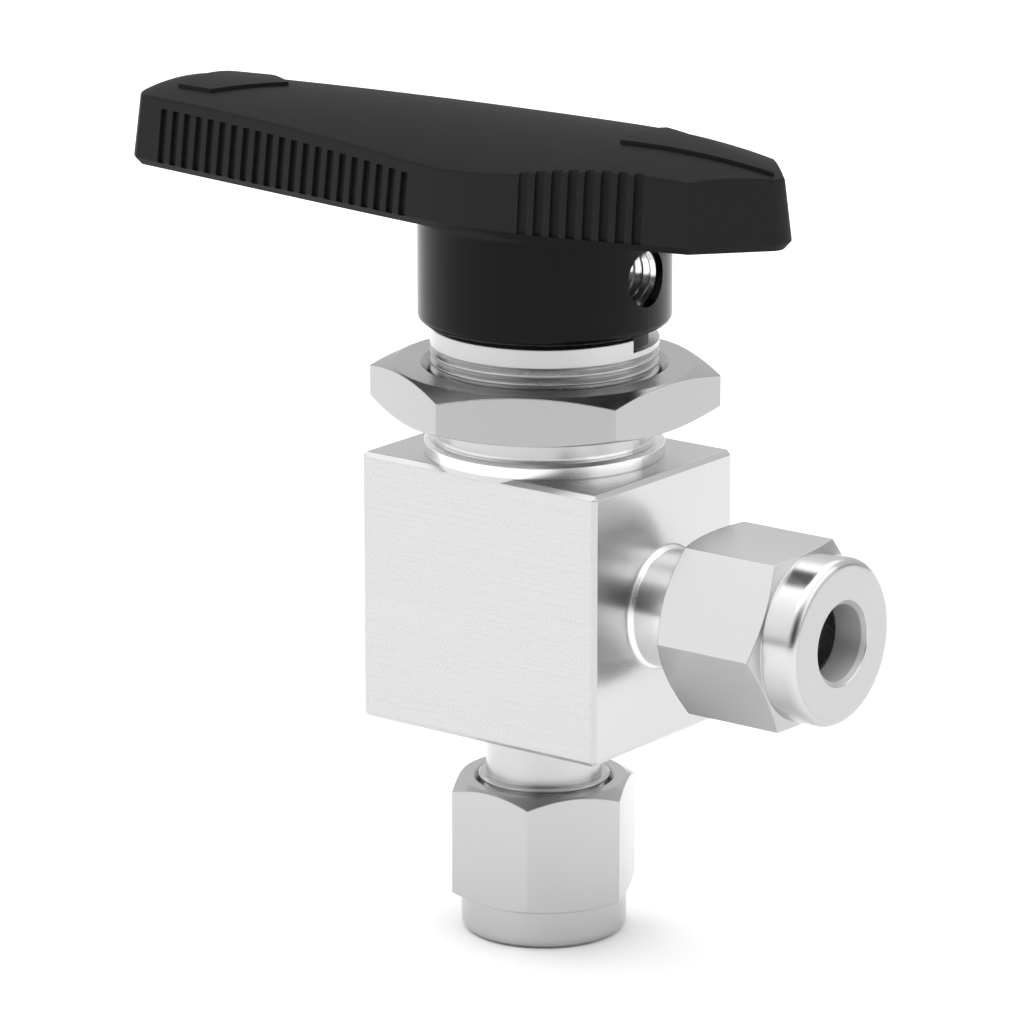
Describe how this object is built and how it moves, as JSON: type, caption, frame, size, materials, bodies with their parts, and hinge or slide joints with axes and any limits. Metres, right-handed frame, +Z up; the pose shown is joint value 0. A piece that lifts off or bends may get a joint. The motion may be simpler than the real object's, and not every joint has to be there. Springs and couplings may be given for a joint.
{
  "type": "angle ball valve",
  "caption": "Quarter-turn angle ball valve: stainless block with a black lever handle, a panel nut on its neck and tube fittings at the side and the bottom.",
  "frame": {"origin": "centre of the bottom port's mouth, on the stem's axis", "axes": "+Z up the stem towards the handle, +X out along the side port, handle shown over +X where the valve is open"},
  "size_m": [0.0722, 0.0294, 0.0699],
  "materials": {
    "stainless_forged": "machined stainless steel with a fine grain",
    "stainless_turned": "turned stainless steel",
    "stainless_dark": "satin stainless steel with a darker end face",
    "stainless_nut": "satin stainless steel",
    "spring_steel": "plain spring steel",
    "ptfe_white": "waxy white fluoropolymer",
    "peek_tan": "plain tan plastic",
    "nylon_black": "moulded nylon, satin"
  },
  "bodies": {
    "valve": {"valve_body": "stainless_forged", "packing": "ptfe_white", "side_seat_ring": "stainless_turned", "side_seat_disc": "stainless_turned", "bottom_seat_ring": "stainless_turned", "bottom_seat_disc": "stainless_turned", "gland": "stainless_turned", "stem_bushing": "peek_tan", "disc_spring_lower": "spring_steel", "disc_spring_upper": "spring_steel", "packing_bolt": "stainless_turned", "grounding_spring": "spring_steel"},
    "stem_and_handle": {"ball_stem": "stainless_turned", "handle": "nylon_black", "handle_insert": "stainless_turned", "set_screw": "stainless_turned"},
    "locknut": {"panel_nut": "stainless_dark"},
    "side_ferrules": {"side_front_ferrule": "stainless_turned", "side_back_ferrule": "stainless_turned"},
    "side_coupling": {"side_nut": "stainless_nut"},
    "bottom_ferrules": {"bottom_front_ferrule": "stainless_turned", "bottom_back_ferrule": "stainless_turned"},
    "bottom_coupling": {"bottom_nut": "stainless_nut"}
  },
  "joints": [
    {"name": "handle_turn", "type": "hinge", "parent": "valve", "child": "stem_and_handle", "pos_m": [0, 0, 0.0302], "axis": [0, 0, 1], "range_deg": [0, 90]},
    {"name": "panel_nut_travel", "type": "slide", "parent": "valve", "child": "locknut", "axis": [0, 0, 1], "range_m": [-0.002, 0.0023]},
    {"name": "side_nut_travel", "type": "slide", "parent": "valve", "child": "side_ferrules", "axis": [1, 0, 0], "range_m": [0, 0.00713]},
    {"name": "side_nut_turn", "type": "hinge", "parent": "side_ferrules", "child": "side_coupling", "pos_m": [0.0302, 0, 0.0302], "axis": [1, 0, 0], "range_deg": [0, 2020]},
    {"name": "bottom_nut_travel", "type": "slide", "parent": "valve", "child": "bottom_ferrules", "axis": [0, 0, -1], "range_m": [0, 0.00713]},
    {"name": "bottom_nut_turn", "type": "hinge", "parent": "bottom_ferrules", "child": "bottom_coupling", "pos_m": [0, 0, 0], "axis": [0, 0, -1], "range_deg": [0, 2020]}
  ],
  "couplings": [
    {"joint": "side_nut_travel", "follows": "side_nut_turn", "m_per_rad": 0.00020213},
    {"joint": "bottom_nut_travel", "follows": "bottom_nut_turn", "m_per_rad": 0.00020213}
  ]
}
